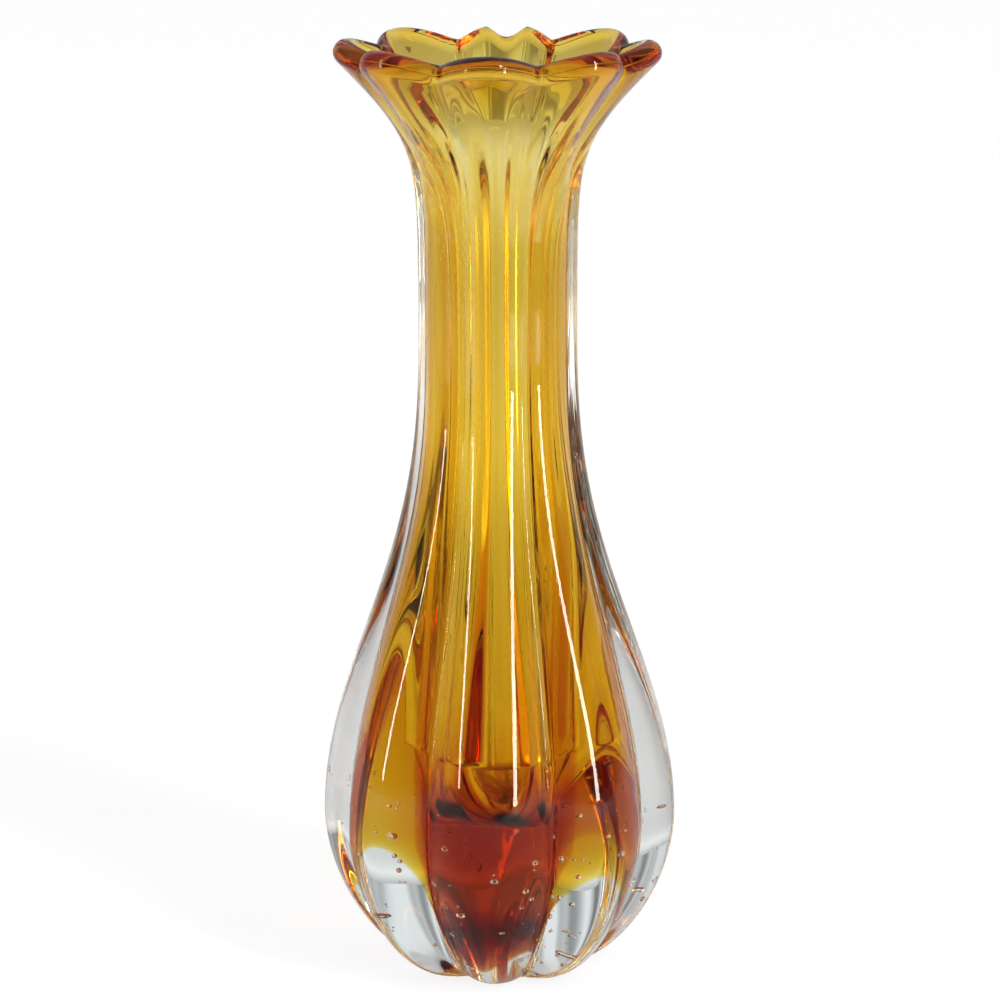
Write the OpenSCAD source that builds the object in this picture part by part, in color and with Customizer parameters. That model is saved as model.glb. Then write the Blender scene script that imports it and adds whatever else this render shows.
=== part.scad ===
// Glass bud vase: a thick, ribbed casing of clear glass fused round an amber core
// that is dipped in ruby at its lower end. Every layer is one closed solid, and the
// layers meet face to face.
// The origin is the centre of the flat base. +Z is up and -Y is the front.

/* [Body] */
// Largest radius over the ribs, low in the bulb
belly_r = 43.3; // [40:0.1:46]
// Height of the largest radius
belly_z = 38.5; // [35:0.5:42]
// Radius of the flat base over the ribs
foot_r = 17.5; // [15:0.5:20]
// Smallest radius over the ribs, in the neck
neck_r = 19.1; // [18:0.1:21]
// Height of the narrowest place of the neck
neck_z = 168; // [160:1:174]

/* [Rim] */
// Largest radius over the lobes of the rim
rim_r = 39; // [36:0.5:42]
// Height of the lobes of the rim
rim_z = 229; // [225:1:235]
// Thickness of the rounded lip
lip_t = 6; // [4.8:0.2:7.2]
// Drop of the rim between two lobes
rim_dip = 3; // [0:0.25:4]
// Depth of the notch that splits the back lobe, as a share of its radius
split_depth = 0.07; // [0:0.01:0.1]

/* [Ribs] */
// Number of ribs round the body
ribs = 8; // [6:1:10]
// Turn of the front rib, in degrees
rib_turn = -4; // [-20:1:20]
// Groove depth at the base, as a share of the radius
foot_groove = 0.2; // [0.12:0.01:0.26]
// Groove depth at the belly, as a share of the radius
belly_groove = 0.115; // [0.06:0.005:0.16]
// Groove depth in the neck, as a share of the radius
neck_groove = 0.05; // [0.02:0.01:0.08]
// Groove depth at the rim, as a share of the radius
rim_groove = 0.17; // [0.06:0.01:0.2]

/* [Core] */
// Radius of the amber core in the bulb, as a share of the outer radius
core_share = 0.58; // [0.54:0.01:0.62]
// Radius of the amber core in the neck, as a share of the outer radius
neck_share = 0.68; // [0.62:0.01:0.72]
// Height of the lowest point of the core
core_z = 11; // [9:0.5:14]
// Groove depth between the fingers at the lower end of the core, as a share of the radius
finger_groove = 0.4; // [0.2:0.05:0.5]
// Thickness of the ruby dip at the lowest point of the core
ruby_t = 7; // [4:0.5:8]
// Radius of the bore and the cavity as a share of the core's radius
cavity_share = 0.8; // [0.72:0.01:0.82]
// Height of the bottom of the cavity
cavity_z = 38; // [36:1:44]
// Groove depth between the lobes of the cavity in the bulb, as a share of the radius
cavity_lobe = 0.22; // [0.1:0.02:0.26]

/* [Hidden] */

// Mesh steps: round the body, over the foot, up a skin, round half the lip, and over a bottom
SEG = 8 * ribs;
FOOT_STEPS = 9;
SHOULDER_STEPS = 10;
NECK_STEPS = 5;
FLARE_STEPS = 7;
LIP_STEPS = 3;
BOTTOM_STEPS = 8;

// The lip is a half round on the end of the wall, which leans out at this angle.
// The casing wraps its outer side up to the seam, and the core fills the rest.
lip_lean = 45;
seam_lean = 15;
seam_share = 0.4;
lip_r = lip_t / 2;
lip_centre = [rim_r - lip_r, rim_z - lip_r];
lip_side = lip_r * [cos(lip_lean), -sin(lip_lean)];
skin_end = lip_centre + lip_side;
core_end = lip_centre + seam_share * lip_side;
bore_end = lip_centre - lip_side;

// Each skin opens into the flare round its own height, over this soft length
flare_soft = 6;
outer_bend_z = 206.5;
core_bend_z = 201;
bore_bend_z = 196;

// Heights where the shoulder ends, the flare begins and the ribs open into lobes
shoulder_z = 118;
flare_z = 190;
lobes_z = 191;

// Curve of the foot and of the shoulder
foot_round = [1.8, 0.6];
shoulder_round = 1.66;

// Grooves: softness of their bottoms (0 is a crease), and depths round the core
groove_soft = 0.12;
bulb_core_groove = 0.16;
neck_core_groove = 0.08;
finger_root_z = 68;
core_fade_z = 120;

// The core widens from its share in the bulb to its share in the neck between two heights
share_z = [60, 130];

// The core's lower end tapers below this height as a power of the height above its tip.
// Its rings crowd towards the tip.
taper_z = 34.5;
taper_power = 0.62;
tip_steps = 1.6;

// The ruby dip ends at this share of the way up the taper, and is this much slimmer inside
ruby_u = 0.7;
ruby_side = 0.03;

// The round lower end of the cavity, over its lobes and in its grooves
cavity_round_z = 56;
lobe_round = 0.75;
notch_round = 1.2;

// 0 below x = 0, 1 above x = 1, and smooth between
function ease(x) = let (u = min(1, max(0, x))) u * u * (3 - 2 * u);
// n heights from a up to, but not including, b
function steps(a, b, n) = [for (i = [0 : n - 1]) a + (b - a) * i / n];
// A soft bend from nothing into a straight rise that is 1 at end_z
function bend(z, bend_z, end_z) =
    ln(1 + exp((z - bend_z) / flare_soft)) / ln(1 + exp((end_z - bend_z) / flare_soft));
// How far a height has opened into the rim's lobes
function opened(z) = ease((z - lobes_z) / (rim_z - lobes_z));

// 1 on a rib's crest and 0 in a groove, for an angle from the front rib
function crest(a) =
    (norm([cos(ribs * a / 2), groove_soft]) - groove_soft)
    / (norm([1, groove_soft]) - groove_soft);
// 1 in the middle of the notch in the back lobe, and 0 beyond it
function split(a) = abs(a - 180) < 90 / ribs ? pow(cos(ribs * (a - 180)), 2) : 0;

// A ring of points from its radius over the ribs, its height and its groove depth
function ring(r, z, groove) = [for (i = [0 : SEG - 1]) place(360 * i / SEG, r, z, groove)];
function place(a, r, z, groove) =
    let (
        turn = a + rib_turn - 90,
        notch = opened(z) * split(a),
        reach = r * (1 - groove * (1 - crest(a))) * (1 - split_depth * notch),
        drop = rim_dip * max(opened(z) * (1 - crest(a)), notch)
    )
    [reach * cos(turn), reach * sin(turn), z - drop];

// Outer skin: the foot below the belly, and the shoulder, neck and flare above it
function body_r(z) = z < belly_z
    ? foot_r + (belly_r - foot_r)
        * pow(1 - pow(1 - z / belly_z, foot_round[0]), foot_round[1])
    : neck_r + (belly_r - neck_r)
        * pow((1 + cos(180 * min(1, (z - belly_z) / (neck_z - belly_z)))) / 2, shoulder_round);
function outer_r(z) = body_r(z) + (skin_end.x - neck_r) * bend(z, outer_bend_z, skin_end.y);
function outer_groove(z) =
    foot_groove
    + (belly_groove - foot_groove) * ease(z / belly_z)
    + (neck_groove - belly_groove) * ease((z - belly_z) / (neck_z - belly_z))
    + (rim_groove - neck_groove) * opened(z);

// Core skin: where the casing meets the core. Below the belly it closes into fingers.
function share(z) =
    core_share
    + (neck_share - core_share) * ease((z - share_z[0]) / (share_z[1] - share_z[0]));
function core_r(z) =
    share(z) * body_r(z)
    + (core_end.x - neck_share * neck_r) * bend(z, core_bend_z, core_end.y);
function core_groove(z) =
    finger_groove
    + (bulb_core_groove - finger_groove) * ease((z - core_z) / (finger_root_z - core_z))
    + (neck_core_groove - bulb_core_groove) * ease((z - finger_root_z) / (core_fade_z - finger_root_z))
    + (rim_groove - neck_core_groove) * opened(z);

// Cavity skin: the bore in the neck and the hollow in the bulb, inside the core's own curve
function cavity_r(z) =
    cavity_share * share(z) * body_r(z)
    + (bore_end.x - cavity_share * neck_share * neck_r) * bend(z, bore_bend_z, bore_end.y);
function cavity_groove(z) =
    neck_core_groove
    + (cavity_lobe - neck_core_groove) * ease((core_fade_z - z) / (core_fade_z - cavity_round_z))
    + (rim_groove - neck_core_groove) * opened(z);

// Heights of the rings from a start height up to just under the lip
function heights(start, end) = concat(
    steps(start, shoulder_z, SHOULDER_STEPS),
    steps(shoulder_z, flare_z, NECK_STEPS),
    steps(flare_z, end, FLARE_STEPS)
);

// Rings of each stretch, from the bottom up
foot_rings = [for (i = [0 : FOOT_STEPS - 1])
    let (z = belly_z * (1 - cos(90 * i / FOOT_STEPS)))
    ring(body_r(z), z, outer_groove(z))];
outer_rings = [for (z = heights(belly_z, skin_end.y)) ring(outer_r(z), z, outer_groove(z))];
core_rings = [for (z = concat(heights(taper_z, core_end.y), [core_end.y]))
    ring(core_r(z), z, core_groove(z))];
cavity_rings = [for (z = heights(cavity_round_z, bore_end.y))
    ring(cavity_r(z), z, cavity_groove(z))];

// Rings of the lip between two angles from level, outward at 0 and inward at 180
function lip_rings(from, to) = [for (i = [0 : LIP_STEPS])
    let (
        a = from + (to - from) * i / LIP_STEPS,
        p = lip_centre + lip_r * [cos(a), sin(a)]
    )
    ring(p.x, p.y, rim_groove)];

// A ring of the core's tapered lower end: u is 0 at its tip and 1 at the top of the taper.
// inset moves it towards the inside of the ruby dip: 0 is the core skin, 1 the inner face.
function core_end_ring(u, inset) =
    let (
        z = core_z + (taper_z - core_z) * pow(u, tip_steps),
        r = core_r(taper_z) * pow(u, tip_steps * taper_power),
        depth = inset * cos(90 * min(1, u / ruby_u))
    )
    ring(r * (1 - ruby_side * depth), z + ruby_t * depth, core_groove(z));
function core_end_rings(inset) =
    [for (u = steps(0, ruby_u, BOTTOM_STEPS)) if (u > 0) core_end_ring(u, inset)];
upper_end_rings = [core_end_ring(ruby_u, 0), core_end_ring((1 + ruby_u) / 2, 0)];

// A point [r, z] of a round end, at an angle below its widest place
function end_point(a, r, high_z, low_z, power) =
    [r * pow(cos(a), power), high_z - (high_z - low_z) * sin(a)];
// A ring whose points run from one profile point in the grooves to another over the ribs
function ring_between(low, high) = [for (i = [0 : SEG - 1])
    let (
        a = 360 * i / SEG,
        turn = a + rib_turn - 90,
        p = low + (high - low) * crest(a)
    )
    [p.x * cos(turn), p.x * sin(turn), p.y]];
cavity_end_rings = [for (a = steps(90, 0, BOTTOM_STEPS)) if (a < 90)
    let (r = cavity_r(cavity_round_z))
    ring_between(end_point(a, r * (1 - cavity_lobe), cavity_round_z, cavity_z, notch_round),
                 end_point(a, r, cavity_round_z, cavity_z, lobe_round))];

function reversed(list) = [for (i = [len(list) - 1 : -1 : 0]) list[i]];

// A closed solid through rings of points, from one pole to the other
module shell(pole_a, rings, pole_b) {
    n = len(rings);
    last = n * SEG + 1;
    function at(k, i) = 1 + k * SEG + i % SEG;
    points = concat([pole_a], [for (r = rings) each r], [pole_b]);
    faces = concat(
        [for (i = [0 : SEG - 1]) [0, at(0, i), at(0, i + 1)]],
        [for (k = [0 : n - 2], i = [0 : SEG - 1]) each [
            [at(k, i), at(k + 1, i), at(k + 1, i + 1)],
            [at(k, i), at(k + 1, i + 1), at(k, i + 1)]
        ]],
        [for (i = [0 : SEG - 1]) [last, at(n - 1, i + 1), at(n - 1, i)]]
    );
    polyhedron(points, faces);
}

core_skin = concat(upper_end_rings, core_rings);

module clear_casing() {
    color([0.90, 0.95, 0.96, 0.35])
        shell([0, 0, 0],
              concat(foot_rings, outer_rings, lip_rings(-lip_lean, seam_lean),
                     reversed(concat(core_end_rings(0), core_skin))),
              [0, 0, core_z]);
}

module amber_core() {
    color([0.86, 0.55, 0.05, 0.6])
        shell([0, 0, core_z + ruby_t],
              concat(core_end_rings(1), core_skin, lip_rings(seam_lean, 180 - lip_lean),
                     reversed(concat(cavity_end_rings, cavity_rings))),
              [0, 0, cavity_z]);
}

module ruby_tip() {
    color([0.45, 0.05, 0.08, 0.8])
        shell([0, 0, core_z],
              concat(core_end_rings(0), [core_end_ring(ruby_u, 0)], reversed(core_end_rings(1))),
              [0, 0, core_z + ruby_t]);
}

clear_casing();
amber_core();
ruby_tip();
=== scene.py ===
import math
import random

import bmesh
import bpy
import numpy as np
from mathutils import Euler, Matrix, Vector


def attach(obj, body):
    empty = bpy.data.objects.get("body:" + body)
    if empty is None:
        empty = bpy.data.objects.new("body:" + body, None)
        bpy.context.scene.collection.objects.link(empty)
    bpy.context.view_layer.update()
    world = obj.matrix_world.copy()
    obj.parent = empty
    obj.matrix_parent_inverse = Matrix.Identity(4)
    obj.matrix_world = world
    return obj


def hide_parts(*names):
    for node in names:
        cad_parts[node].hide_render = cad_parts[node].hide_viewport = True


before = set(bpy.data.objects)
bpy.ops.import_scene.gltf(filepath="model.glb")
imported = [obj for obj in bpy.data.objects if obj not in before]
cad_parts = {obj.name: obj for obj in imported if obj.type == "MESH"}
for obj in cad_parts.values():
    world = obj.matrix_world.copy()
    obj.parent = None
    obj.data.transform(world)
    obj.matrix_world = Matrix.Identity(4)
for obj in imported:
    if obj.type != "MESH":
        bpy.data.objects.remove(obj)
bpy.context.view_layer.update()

# ---------------------------------------------------------------- sizes, in metres
MM = 0.001

# The outer skin. A groove is given by the share of the radius that it takes away between two ribs.
RIBS = 8
RIB_TURN = math.radians(-4)  # the front rib is turned this far from -Y
RIM_R, RIM_Z = 39 * MM, 229 * MM
RIM_DIP = 3 * MM  # how far the rim dips between two lobes
SPLIT_DEPTH = 0.07  # the notch in the back lobe, as a share of the radius
LIP_R, LIP_LEAN = 3 * MM, math.radians(45)
SEAM_SHARE, SEAM_LEAN = 0.4, math.radians(15)  # where the lip changes from clear to amber
BELLY_R, BELLY_Z = 43.3 * MM, 38.5 * MM
FOOT_R = 17.5 * MM
NECK_R, NECK_Z = 19.1 * MM, 168 * MM
FOOT_ROUND = (1.8, 0.6)  # powers of the curve from the foot out to the belly
SHOULDER_ROUND = 1.66  # power of the curve from the belly in to the neck
LOBES_Z = 191 * MM  # the ribs open into the rim's lobes from here up
OUTER_BEND_Z, CORE_BEND_Z, BORE_BEND_Z = 206.5 * MM, 201 * MM, 196 * MM
FLARE_SOFT = 6 * MM  # how gently a skin bends into the flare
FOOT_GROOVE, BELLY_GROOVE, NECK_GROOVE, RIM_GROOVE = 0.20, 0.115, 0.05, 0.17
GROOVE_SOFT = 0.12  # rounds the bottom of a groove

# The amber core: a share of the outer radius, with a finger in each rib below and a taper to a tip
CORE_SHARE, NECK_SHARE = 0.58, 0.68
SHARE_LOW_Z, SHARE_HIGH_Z = 60 * MM, 130 * MM
FINGER_GROOVE, CORE_GROOVE, NECK_CORE_GROOVE = 0.40, 0.16, 0.08
CORE_Z, FINGER_ROOT_Z, CORE_FADE_Z = 11 * MM, 68 * MM, 120 * MM
TAPER_Z = 34.5 * MM
TAPER_POWER, TIP_STEPS = 0.62, 1.6  # the taper's curve, and how far its rings crowd to the tip

# The cavity: a share of the core's radius, with a lobed round end
CAVITY_SHARE = 0.8
CAVITY_Z, CAVITY_ROUND_Z = 38 * MM, 56 * MM
CAVITY_LOBE = 0.22  # the groove in its round end
LOBE_ROUND, NOTCH_ROUND = 0.75, 1.2  # powers of the end's curve over the ribs and in the grooves

# The ruby dip: its height on the axis, how far up the taper it goes, and how much narrower its top is
RUBY_T, RUBY_U, RUBY_SIDE = 7 * MM, 0.7, 0.03
RUBY_FILL = 0.98  # the share of its hollow in the core that it fills

SEG = 384
FLUTE_DEPTH = 0.5 * MM
FLUTES = [(11, 0.3, 1.0), (17, 1.7, 0.7), (26, 4.1, 0.4), (37, 2.2, 0.2)]  # count, phase and weight
GAP = 0.03 * MM  # between fused layers, so that a ray meets them one after the other

LIP_CENTRE = np.array([RIM_R - LIP_R, RIM_Z - LIP_R])
LIP_SIDE = LIP_R * np.array([math.cos(LIP_LEAN), -math.sin(LIP_LEAN)])
SKIN_END = LIP_CENTRE + LIP_SIDE
BORE_END = LIP_CENTRE - LIP_SIDE
CORE_END = LIP_CENTRE + SEAM_SHARE * LIP_SIDE
ANGLES = np.linspace(0, 2 * math.pi, SEG, endpoint=False)


# ---------------------------------------------------------------- profiles and grooves
def ease(x):
    u = np.clip(x, 0, 1)
    return u * u * (3 - 2 * u)


def soft_step(height):
    return np.log1p(np.exp(height / FLARE_SOFT))


def bend(z, bend_z, end_z):
    """How far a skin has flared at a height: about 0 well below bend_z, and 1 at end_z."""
    return soft_step(z - bend_z) / soft_step(end_z - bend_z)


def opened(z):
    """How far the ribs have opened into the rim's lobes, from 0 to 1."""
    return ease((z - LOBES_Z) / (RIM_Z - LOBES_Z))


def crest(a):
    """1 over the middle of a rib and 0 in the middle of a groove."""
    wave = np.hypot(np.cos(RIBS * a / 2), GROOVE_SOFT) - GROOVE_SOFT
    return wave / (math.hypot(1, GROOVE_SOFT) - GROOVE_SOFT)


def split(a):
    """1 in the middle of the back lobe, and 0 beyond a quarter of a rib either way."""
    off = a - math.pi
    return np.where(np.abs(off) < math.pi / 2 / RIBS, np.cos(RIBS * off) ** 2, 0)


def body_r(z):
    if z < BELLY_Z:
        rise = 1 - (1 - z / BELLY_Z) ** FOOT_ROUND[0]
        return FOOT_R + (BELLY_R - FOOT_R) * rise ** FOOT_ROUND[1]
    u = min(1, (z - BELLY_Z) / (NECK_Z - BELLY_Z))
    return NECK_R + (BELLY_R - NECK_R) * ((1 + math.cos(math.pi * u)) / 2) ** SHOULDER_ROUND


def outer_r(z):
    return body_r(z) + (SKIN_END[0] - NECK_R) * bend(z, OUTER_BEND_Z, SKIN_END[1])


def outer_groove(z):
    return (
        FOOT_GROOVE
        + (BELLY_GROOVE - FOOT_GROOVE) * ease(z / BELLY_Z)
        + (NECK_GROOVE - BELLY_GROOVE) * ease((z - BELLY_Z) / (NECK_Z - BELLY_Z))
        + (RIM_GROOVE - NECK_GROOVE) * opened(z)
    )


def core_share(z):
    """The share of the outer radius that the amber fills."""
    rise = ease((z - SHARE_LOW_Z) / (SHARE_HIGH_Z - SHARE_LOW_Z))
    return CORE_SHARE + (NECK_SHARE - CORE_SHARE) * rise


def core_r(z):
    flare = CORE_END[0] - NECK_SHARE * NECK_R
    return core_share(z) * body_r(z) + flare * bend(z, CORE_BEND_Z, CORE_END[1])


def core_groove(z):
    return (
        FINGER_GROOVE
        + (CORE_GROOVE - FINGER_GROOVE) * ease((z - CORE_Z) / (FINGER_ROOT_Z - CORE_Z))
        + (NECK_CORE_GROOVE - CORE_GROOVE) * ease((z - FINGER_ROOT_Z) / (CORE_FADE_Z - FINGER_ROOT_Z))
        + (RIM_GROOVE - NECK_CORE_GROOVE) * opened(z)
    )


def cavity_r(z):
    flare = BORE_END[0] - CAVITY_SHARE * NECK_SHARE * NECK_R
    return CAVITY_SHARE * core_share(z) * body_r(z) + flare * bend(z, BORE_BEND_Z, BORE_END[1])


def cavity_groove(z):
    return (
        NECK_CORE_GROOVE
        + (CAVITY_LOBE - NECK_CORE_GROOVE) * ease((CORE_FADE_Z - z) / (CORE_FADE_Z - CAVITY_ROUND_Z))
        + (RIM_GROOVE - NECK_CORE_GROOVE) * opened(z)
    )


# ---------------------------------------------------------------- rings of points
def turned(a):
    """The angle from +X of an angle that is counted from the middle of the front rib."""
    return a + RIB_TURN - math.pi / 2


def ring_points(reach, z):
    turn = turned(ANGLES)
    return np.stack([reach * np.cos(turn), reach * np.sin(turn), z], axis=-1)


def ring(r, z, groove, inset=0.0):
    """SEG points round the vase, from a radius over the ribs, a height and a groove."""
    weight = crest(ANGLES)
    notch = opened(z) * split(ANGLES)
    reach = r * (1 - groove * (1 - weight)) * (1 - SPLIT_DEPTH * notch) - inset
    return ring_points(reach, z - RIM_DIP * np.maximum(opened(z) * (1 - weight), notch))


def between(low, high):
    """A ring between two points of a profile: low is in the grooves and high is over the ribs."""
    weight = crest(ANGLES)
    return ring_points(low[0] + (high[0] - low[0]) * weight, low[1] + (high[1] - low[1]) * weight)


def foot_rings(n=60):
    zs = BELLY_Z * (1 - np.cos(np.linspace(0, math.pi / 2, n, endpoint=False)))
    return [ring(body_r(z), z, outer_groove(z)) for z in zs]


def outer_rings(n=150):
    zs = np.linspace(BELLY_Z, SKIN_END[1], n, endpoint=False)
    return [ring(outer_r(z), z, outer_groove(z)) for z in zs]


def lip_rings(start, end, inset=0.0, n=14):
    rings = []
    for a in np.linspace(start, end, n):
        r = LIP_CENTRE[0] + LIP_R * math.cos(a)
        z = LIP_CENTRE[1] + LIP_R * math.sin(a)
        rings.append(ring(r, z, RIM_GROOVE, inset))
    return rings


def core_rings(inset, n=130):
    zs = np.linspace(TAPER_Z, CORE_END[1], n)
    return [ring(core_r(z), z, core_groove(z), inset) for z in zs]


def core_end_ring(u, depth, inset):
    """u is 0 at the core's tip and 1 at TAPER_Z; depth is 1 on the ruby's upper skin."""
    z = CORE_Z + (TAPER_Z - CORE_Z) * u ** TIP_STEPS
    r = core_r(TAPER_Z) * u ** (TIP_STEPS * TAPER_POWER)
    deep = depth * math.cos(math.pi / 2 * min(1, u / RUBY_U))
    lift = inset * (1 - u)
    return ring(r * (1 - RUBY_SIDE * deep), z + lift + RUBY_T * deep, core_groove(z), min(inset, r / 2))


def core_end_rings(depth, inset, until=1.0, n=70):
    return [core_end_ring(u, depth, inset) for u in np.linspace(0, until, n + 1)[1:-1]]


def flutes(points, z):
    """Pushes a ring of the bore in and out by the fine flutes that run up it."""
    wave = sum(weight * np.sin(count * ANGLES + phase) for count, phase, weight in FLUTES)
    grow = 1 + FLUTE_DEPTH * wave * (1 - opened(z)) / np.hypot(points[:, 0], points[:, 1])
    points[:, :2] *= grow[:, None]
    return points


def cavity_rings(n=150):
    zs = np.linspace(CAVITY_ROUND_Z, BORE_END[1], n, endpoint=False)
    return [flutes(ring(cavity_r(z), z, cavity_groove(z)), z) for z in zs]


def end_curve(u, low_z, high_z, end_r, power):
    """A point of a round end that runs from the axis (u = 0) to its full width (u = 1)."""
    angle = math.pi / 2 * (1 - u)
    return (end_r * math.cos(angle) ** power, high_z - (high_z - low_z) * math.sin(angle))


def cavity_end_rings(n=50):
    full = cavity_r(CAVITY_ROUND_Z)
    rings = []
    for u in np.linspace(0, 1, n + 1)[1:-1]:
        high = end_curve(u, CAVITY_Z, CAVITY_ROUND_Z, full, LOBE_ROUND)
        low = end_curve(u, CAVITY_Z, CAVITY_ROUND_Z, full * (1 - CAVITY_LOBE), NOTCH_ROUND)
        rings.append(between(low, high))
    return rings


# ---------------------------------------------------------------- air seeds
SEEDS = 240
SEED_R = (0.2 * MM, 0.8 * MM)
SEED_Z = (5 * MM, 46 * MM)
SEED_SMALL, SEED_LOW = 2, 1.5  # powers that make small seeds and low seeds more common
SEED_CLEAR = 1.2 * MM  # least glass between a seed and a skin
SEED_APART = 0.5 * MM  # least glass between two seeds
seed_random = random.Random(7)


def sphere(subdivisions=2):
    ball = bmesh.new()
    bmesh.ops.create_icosphere(ball, subdivisions=subdivisions, radius=1)
    verts = [v.co.copy() for v in ball.verts]
    faces = [[v.index for v in f.verts] for f in ball.faces]
    ball.free()
    return verts, faces


BALL_VERTS, BALL_FACES = sphere()


def add_bubble(verts, faces, centre, radius):
    """Adds a round void: its faces look inwards, away from the glass."""
    first = len(verts)
    for v in BALL_VERTS:
        verts.append([c + radius * x for c, x in zip(centre, v)])
    faces.extend([first + i for i in reversed(f)] for f in BALL_FACES)


def core_reach(a, z):
    """The core skin's radius at an angle and a height, 0 below its tip."""
    if z <= CORE_Z:
        return 0.0
    grooved = 1 - core_groove(z) * (1 - crest(a))
    if z >= TAPER_Z:
        return core_r(z) * grooved
    u = (z - CORE_Z) / (TAPER_Z - CORE_Z)
    return core_r(TAPER_Z) * u ** TAPER_POWER * grooved


def air_seeds():
    """Small air bubbles scattered through the clear glass round the core's end."""
    seeds = []
    while len(seeds) < SEEDS:
        a = seed_random.uniform(0, 2 * math.pi)
        z = SEED_Z[0] + (SEED_Z[1] - SEED_Z[0]) * seed_random.random() ** SEED_LOW
        radius = SEED_R[0] + (SEED_R[1] - SEED_R[0]) * seed_random.random() ** SEED_SMALL
        share = seed_random.random()
        outer = body_r(z) * (1 - outer_groove(z) * (1 - crest(a))) - SEED_CLEAR - radius
        inner = core_reach(a, z) + SEED_CLEAR + radius if z >= CORE_Z else 0.0
        if outer <= inner:
            continue
        reach = inner + (outer - inner) * share
        turn = turned(a)
        place = (reach * math.cos(turn), reach * math.sin(turn), z)
        if all(math.dist(place, p) > radius + r + SEED_APART for p, r in seeds):
            seeds.append((place, radius))
    return seeds


# ---------------------------------------------------------------- meshes
def mark_fused(mesh, fused):
    """Marks the faces between two fused rings, and each cap whose ring is fused. Bubbles stay 0."""
    flags = np.asarray(fused, float)
    sides = np.repeat(flags[:-1] * flags[1:], SEG)
    skin = np.concatenate([np.full(SEG, flags[0]), sides, np.full(SEG, flags[-1])])
    marks = np.zeros(len(mesh.polygons))
    marks[:len(skin)] = skin
    mesh.attributes.new("fused", "FLOAT", "FACE").data.foreach_set("value", marks)


def closed_mesh(name, first_pole, rings, last_pole, fused, bubbles=()):
    """A closed mesh through rings of points. fused is 1 for each ring against another layer, else 0."""
    i = np.arange(SEG)
    j = (i + 1) % SEG
    base = 1 + SEG * np.arange(len(rings) - 1)[:, None]
    quads = np.stack([base + i, base + j, base + SEG + j, base + SEG + i], axis=-1).reshape(-1, 4)
    last = 1 + SEG * len(rings)
    first_cap = np.stack([np.zeros(SEG, int), 1 + j, 1 + i], axis=-1)
    last_cap = np.stack([np.full(SEG, last), last - SEG + i, last - SEG + j], axis=-1)
    verts = np.vstack([[first_pole], *rings, [last_pole]]).tolist()
    faces = first_cap.tolist() + quads.tolist() + last_cap.tolist()
    for centre, radius in bubbles:
        add_bubble(verts, faces, centre, radius)
    mesh = bpy.data.meshes.new(name)
    mesh.from_pydata(verts, [], faces)
    mark_fused(mesh, fused)
    mesh.shade_smooth()
    return mesh


def piece(name, mesh, node, material):
    made = bpy.data.objects.new(name, mesh)
    bpy.context.scene.collection.objects.link(made)
    mesh.materials.append(material)
    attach(made, "root")
    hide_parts(node)


# ---------------------------------------------------------------- shader nodes
def add_node(tree, kind, inputs=None, **settings):
    """Adds a shader node with its settings, and with constants on its inputs."""
    made = tree.nodes.new("ShaderNode" + kind)
    for name, value in settings.items():
        setattr(made, name, value)
    for name, value in (inputs or {}).items():
        made.inputs[name].default_value = value
    return made


def map_range(tree, start, end, low=0.0, high=1.0, kind="LINEAR"):
    """Takes values from start to end, and gives values from low to high."""
    inputs = {"From Min": start, "From Max": end, "To Min": low, "To Max": high}
    return add_node(tree, "MapRange", inputs, interpolation_type=kind)


def join(tree, *links):
    """Each link is a node, its output, another node and that node's input."""
    for source, output, target, entry in links:
        tree.links.new(source.outputs[output], target.inputs[entry])


# ---------------------------------------------------------------- glass
SHEEN = (0.42, 0.4, 0.36, 1)  # tint of what the surface reflects
GLASS_IOR = 1.5


def glass(name, colour, density):
    """Glass that absorbs (1 - colour) * density per metre and bends no light where it is fused."""
    made = bpy.data.materials.new(name)
    made.use_nodes = True
    tree = made.node_tree
    tree.nodes.clear()
    surface = {
        "Base Color": (1, 1, 1, 1),
        "Transmission Weight": 1,
        "IOR": GLASS_IOR,
        "Roughness": 0.0,
        "Specular Tint": SHEEN,
    }
    shader = add_node(tree, "BsdfPrincipled", surface)
    inside = add_node(tree, "BsdfTransparent")
    fused = add_node(tree, "Attribute", attribute_name="fused")
    mix = add_node(tree, "MixShader")
    volume = add_node(tree, "VolumeAbsorption", {"Color": (*colour, 1), "Density": density})
    output = add_node(tree, "OutputMaterial")
    join(
        tree,
        (fused, "Fac", mix, 0),
        (shader, 0, mix, 1),
        (inside, 0, mix, 2),
        (mix, 0, output, "Surface"),
        (volume, 0, output, "Volume"),
    )
    return made


# ---------------------------------------------------------------- the three layers
def make_casing():
    core_skin = core_end_rings(depth=0, inset=0) + core_rings(inset=0)
    outside = foot_rings() + outer_rings() + lip_rings(-LIP_LEAN, SEAM_LEAN)
    fused = [0] * (len(outside) - 1) + [1] * (len(core_skin) + 1)
    rings = outside + core_skin[::-1]
    mesh = closed_mesh("clear_casing_glass", (0, 0, 0), rings, (0, 0, CORE_Z), fused, air_seeds())
    clear = glass("clear_glass", colour=(0.0, 0.6, 0.4), density=1.2)
    piece("clear_casing_glass", mesh, "clear_casing", clear)


def make_core():
    outside = core_end_rings(depth=1, inset=GAP) + core_rings(inset=GAP)
    lip = lip_rings(SEAM_LEAN, math.pi - LIP_LEAN, inset=GAP, n=24)
    inside = lip + (cavity_end_rings() + cavity_rings())[::-1]
    fused = [1] * (len(outside) + 1) + [0] * (len(inside) - 1)
    low, high = (0, 0, CORE_Z + GAP + RUBY_T), (0, 0, CAVITY_Z)
    mesh = closed_mesh("amber_core_glass", low, outside + inside, high, fused)
    amber = glass("amber_glass", colour=(0.952, 0.815, 0.0), density=560)
    piece("amber_core_glass", mesh, "amber_core", amber)


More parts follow.
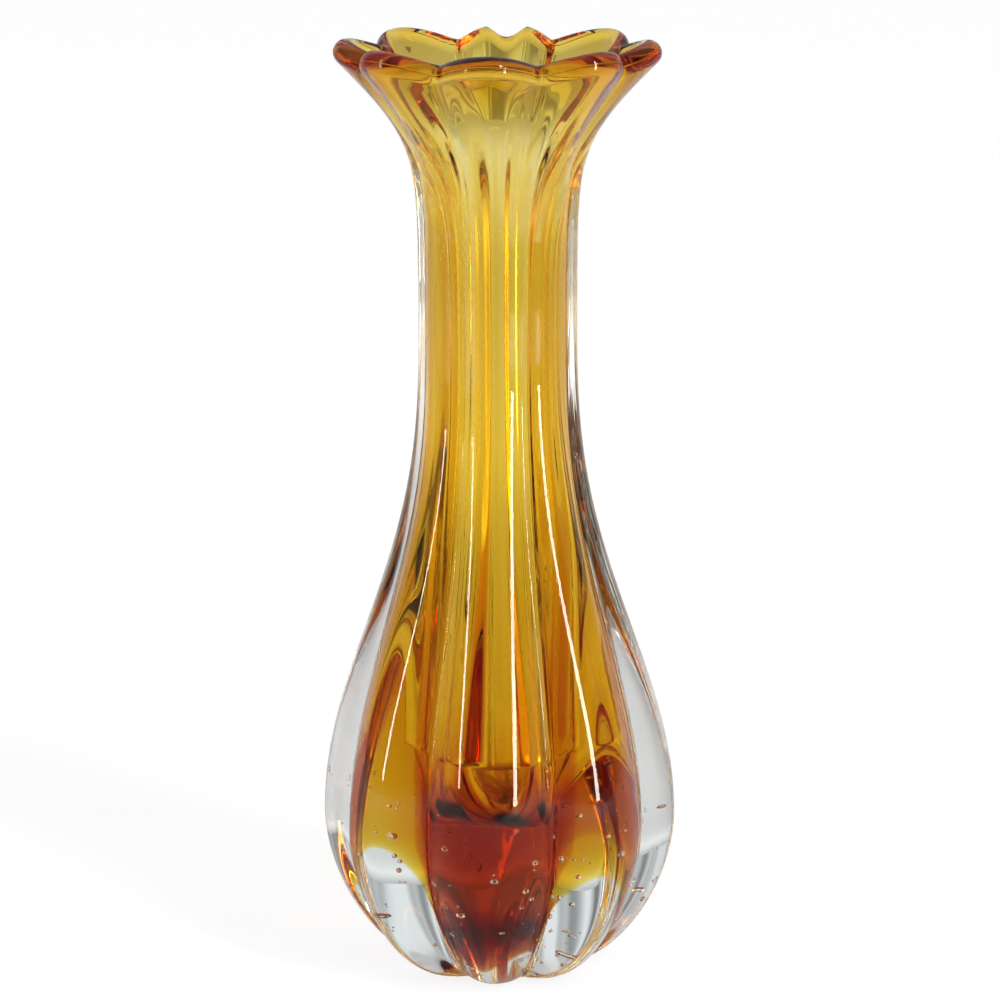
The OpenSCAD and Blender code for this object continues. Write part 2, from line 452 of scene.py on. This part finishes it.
def make_tip():
    under = core_end_rings(depth=0, inset=GAP, until=RUBY_U, n=40)
    over = core_end_rings(depth=RUBY_FILL, inset=2 * GAP, until=RUBY_U, n=40)
    rings = under + over[::-1]
    low, high = (0, 0, CORE_Z + GAP), (0, 0, CORE_Z + RUBY_FILL * RUBY_T)
    mesh = closed_mesh("ruby_tip_glass", low, rings, high, fused=[1] * len(rings))
    ruby = glass("ruby_glass", colour=(0.87, 0.56, 0.0), density=900)
    piece("ruby_tip_glass", mesh, "ruby_tip", ruby)


# ---------------------------------------------------------------- floor
FLOOR_REACH = 6.0  # from its middle to its edges
FLOOR_PAINTED_SHADE, FLOOR_LIGHT = 0.55, 0.9  # painted shade on the floor beside the vase, and its tone away from it
FLOOR_FADE = (0.15, 0.5)  # distances from the vase over which the painted shade fades into the floor's tone
FLOOR_ROUGH = 0.9
FLOOR_GLOW, FLOOR_GLOW_SHARE = 1.18, 0.7  # mixed in only where the camera sees the floor directly


def floor_material():
    made = bpy.data.materials.new("floor")
    made.use_nodes = True
    tree = made.node_tree
    paint = tree.nodes["Principled BSDF"]
    paint.inputs["Roughness"].default_value = FLOOR_ROUGH
    place = add_node(tree, "TexCoord")
    distance = add_node(tree, "VectorMath", operation="LENGTH")
    # The floor is painted darker near the vase: a painted shade round its foot, like a contact shadow,
    # which the glass also reflects and refracts.
    shade = map_range(tree, *FLOOR_FADE, FLOOR_PAINTED_SHADE, FLOOR_LIGHT, kind="SMOOTHSTEP")
    glow = add_node(tree, "Emission", {"Strength": FLOOR_GLOW})
    ray = add_node(tree, "LightPath")
    share = add_node(tree, "Math", {1: FLOOR_GLOW_SHARE}, operation="MULTIPLY")
    lift = add_node(tree, "MixShader")
    join(
        tree,
        (place, "Object", distance, 0),
        (distance, "Value", shade, "Value"),
        (shade, 0, paint, "Base Color"),
        (ray, "Is Camera Ray", share, 0),
        (share, 0, lift, 0),
        (paint, 0, lift, 1),
        (glow, 0, lift, 2),
        (lift, 0, tree.nodes["Material Output"], "Surface"),
    )
    return made


def make_floor():
    mesh = bpy.data.meshes.new("floor")
    corners = [(-1, -1), (1, -1), (1, 1), (-1, 1)]
    mesh.from_pydata([(FLOOR_REACH * x, FLOOR_REACH * y, 0) for x, y in corners], [], [(0, 1, 2, 3)])
    mesh.materials.append(floor_material())
    floor = bpy.data.objects.new("floor", mesh)
    bpy.context.scene.collection.objects.link(floor)


# ---------------------------------------------------------------- the room that the glass refracts
BACKDROP = 0.95  # what the camera sees beyond the floor
ROOM = 0.72  # strength of the light from the whole room
ROOM_TINT = (0.97, 1, 1.02)
ROOM_SIDES = 0.85  # the tone at -X, where the turn starts and ends
# Azimuth as a share of a turn, from -X through the front (0.25), +X (0.5) and the back (0.75)
ROOM_PANELS = [
    (0.10, 0.25), (0.16, 0.45), (0.34, 0.45), (0.40, 0.25), (0.47, 0.85),
    (0.56, 0.25), (0.64, 0.8), (0.86, 0.8), (0.93, 0.2),
]
BLINDS, BLIND_DETAIL = 34, 2  # narrow uprights on top of the panels
BLIND_LOW, BLIND_HIGH = 0.35, 1.4
NOISE_LOW, NOISE_HIGH = 0.35, 0.65  # the noise values that give those two
CEILING, CEILING_Z = 0.9, (0.3, 0.7)  # its level, and the rays' upward parts where it starts and is full


def tone(level):
    return (*(level * part for part in ROOM_TINT), 1)


def room_panels(tree):
    panels = add_node(tree, "ValToRGB")
    panels.color_ramp.interpolation = "EASE"
    stops = panels.color_ramp.elements
    stops[0].position, stops[1].position = 0.0, 1.0
    stops[0].color = stops[1].color = tone(ROOM_SIDES)
    for at, level in ROOM_PANELS:
        stops.new(at).color = tone(level)
    return panels


def room_colour(tree):
    """Panels and blinds round the vase, that fade upwards into a plain ceiling."""
    way = add_node(tree, "TexCoord")
    axes = add_node(tree, "SeparateXYZ")
    turn = add_node(tree, "Math", operation="ARCTAN2")
    share = map_range(tree, -math.pi, math.pi)
    panels = room_panels(tree)
    blinds = add_node(tree, "TexNoise", noise_dimensions="1D")
    blinds.inputs["Scale"].default_value = BLINDS
    blinds.inputs["Detail"].default_value = BLIND_DETAIL
    blind_level = map_range(tree, NOISE_LOW, NOISE_HIGH, BLIND_LOW, BLIND_HIGH)
    walls = add_node(tree, "Mix", {"Factor": 1}, data_type="RGBA", blend_type="MULTIPLY")
    rise = map_range(tree, *CEILING_Z, kind="SMOOTHSTEP")
    colour = add_node(tree, "Mix", {"B": (CEILING, CEILING, CEILING, 1)}, data_type="RGBA")
    join(
        tree,
        (way, "Generated", axes, 0),
        (axes, "Y", turn, 0),
        (axes, "X", turn, 1),
        (turn, 0, share, "Value"),
        (share, 0, panels, 0),
        (share, 0, blinds, "W"),
        (blinds, 0, blind_level, "Value"),
        (panels, 0, walls, "A"),
        (blind_level, 0, walls, "B"),
        (axes, "Z", rise, "Value"),
        (rise, 0, colour, "Factor"),
        (walls, "Result", colour, "A"),
    )
    return colour


def make_world():
    world = bpy.data.worlds.new("studio")
    bpy.context.scene.world = world
    world.use_nodes = True
    tree = world.node_tree
    backdrop = tree.nodes["Background"]
    backdrop.inputs["Color"].default_value = (1, 1, 1, 1)
    backdrop.inputs["Strength"].default_value = BACKDROP
    room = add_node(tree, "Background", {"Strength": ROOM})
    ray = add_node(tree, "LightPath")
    mix = add_node(tree, "MixShader")
    join(
        tree,
        (room_colour(tree), "Result", room, "Color"),
        (ray, "Is Camera Ray", mix, 0),
        (room, 0, mix, 1),
        (backdrop, 0, mix, 2),
        (mix, 0, tree.nodes["World Output"], "Surface"),
    )


# ---------------------------------------------------------------- lights and camera
STRIP_Z = 0.5
STRIP_AIM = (0, 0, 0.3)
CAMERA_D, CAMERA_Z, CAMERA_LENS = 0.9, 0.327, 137  # the lens is in millimetres
CAMERA_AIM = (0.0004, 0, 0.1173)
CAMERA_ROLL = math.radians(-0.16)
CAMERA_FAR = 20


def strip(name, azimuth, distance, width, height, power):
    """A strip softbox round the vase: azimuth 0 is the front, positive is to the right."""
    data = bpy.data.lights.new(name, "AREA")
    data.shape = "RECTANGLE"
    data.size, data.size_y = width, height
    data.energy = power
    a = math.radians(azimuth)
    lamp = bpy.data.objects.new(name, data)
    lamp.location = (distance * math.sin(a), -distance * math.cos(a), STRIP_Z)
    lamp.rotation_euler = (Vector(STRIP_AIM) - lamp.location).to_track_quat("-Z", "Y").to_euler()
    bpy.context.scene.collection.objects.link(lamp)


def make_camera():
    data = bpy.data.cameras.new("camera")
    data.lens = CAMERA_LENS
    data.clip_end = CAMERA_FAR
    camera = bpy.data.objects.new("camera", data)
    camera.location = (0, -CAMERA_D, CAMERA_Z)
    look = (Vector(CAMERA_AIM) - camera.location).to_track_quat("-Z", "Y")
    camera.rotation_euler = (look @ Euler((0, 0, CAMERA_ROLL)).to_quaternion()).to_euler()
    bpy.context.scene.collection.objects.link(camera)
    bpy.context.scene.camera = camera


# ---------------------------------------------------------------- the scene
make_casing()
make_core()
make_tip()
make_floor()
make_world()
strip("strip_right", azimuth=43, distance=0.8, width=0.1, height=1.0, power=14)
strip("strip_left", azimuth=-60, distance=0.9, width=0.06, height=0.9, power=6)
make_camera()

scene = bpy.context.scene
scene.view_settings.view_transform = "Standard"
# A ray crosses many skins on its way through the vase, so it may bend and pass more often than usual.
scene.cycles.max_bounces = 40
scene.cycles.transmission_bounces = 32
scene.cycles.glossy_bounces = 12
scene.cycles.transparent_max_bounces = 64
